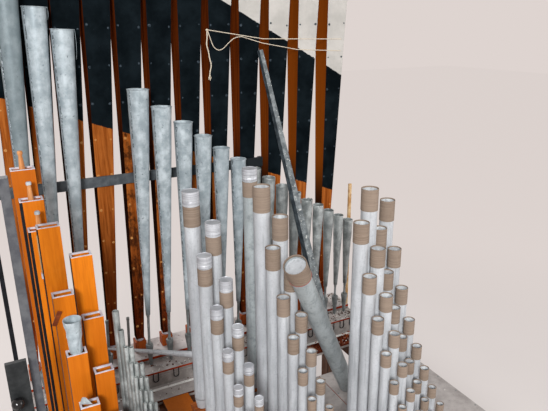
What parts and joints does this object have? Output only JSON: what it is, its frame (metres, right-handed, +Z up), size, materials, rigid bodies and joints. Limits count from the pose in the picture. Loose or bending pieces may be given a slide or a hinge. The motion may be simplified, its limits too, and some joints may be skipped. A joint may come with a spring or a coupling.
{
  "type": "pipe organ",
  "caption": "Open pipe organ division: square wooden and conical metal reeds behind zigzag ranks of grey flue pipes.",
  "frame": {"origin": "centre of the frame's footprint, on the floor", "axes": "+X along the reed row to the short pipes, +Y to the back of the organ, +Z up"},
  "size_m": [2.32, 2.17, 3.2762],
  "materials": {
    "dark_wood": "aged, matt",
    "chest_wood": "varnished, dusty",
    "dusty_board": "grey with dust",
    "orange_wood": "varnished pine",
    "painted_wood": "part black paint, part bare",
    "reed_metal": "dull mottled grey metal",
    "flue_metal": "dull grey pipe metal",
    "tan_band": "matt tan paper or card sleeve",
    "silver_cap": "bright thin metal cap",
    "grey_paint": "dull dark grey paint",
    "pale_wood": "bare, dry",
    "string": "twisted string"
  },
  "bodies": {
    "root": {"legs": "dark_wood", "beams": "dark_wood", "flute_chest": "chest_wood", "rear_chest": "chest_wood", "rear_board": "dusty_board", "front_chest": "chest_wood", "front_boards": "dusty_board", "wood_board": "dusty_board", "walk_bearers": "dark_wood", "walk_boards": "orange_wood", "edge_hooks": "flue_metal", "wood_boots": "orange_wood", "wood_resonators": "painted_wood", "reed_boots": "reed_metal", "reed_resonators": "reed_metal", "reed_rail": "grey_paint", "cap_bodies": "flue_metal", "cap_feet": "flue_metal", "cap_sleeves": "tan_band", "caps": "silver_cap", "cap_rack": "orange_wood", "open_bodies": "flue_metal", "open_feet": "flue_metal", "open_sleeves": "tan_band", "open_rack": "orange_wood", "right_bodies": "flue_metal", "right_feet": "flue_metal", "right_sleeves": "tan_band", "right_rack": "orange_wood", "outer_bodies": "flue_metal", "outer_feet": "flue_metal", "outer_sleeves": "tan_band", "outer_rack": "orange_wood", "flute_bodies": "orange_wood", "flute_feet": "orange_wood", "flute_stoppers": "orange_wood", "mixture_pipes": "reed_metal", "mixture_feet": "reed_metal", "mixture_rack": "orange_wood", "loose_cylinder": "flue_metal", "fallen_pipe": "flue_metal", "fallen_sleeve": "tan_band", "fallen_cone": "flue_metal", "leaning_bar": "grey_paint", "left_post": "grey_paint", "side_board": "grey_paint", "end_stick": "pale_wood", "tie_string": "string", "string_tail": "string"}
  },
  "joints": []
}
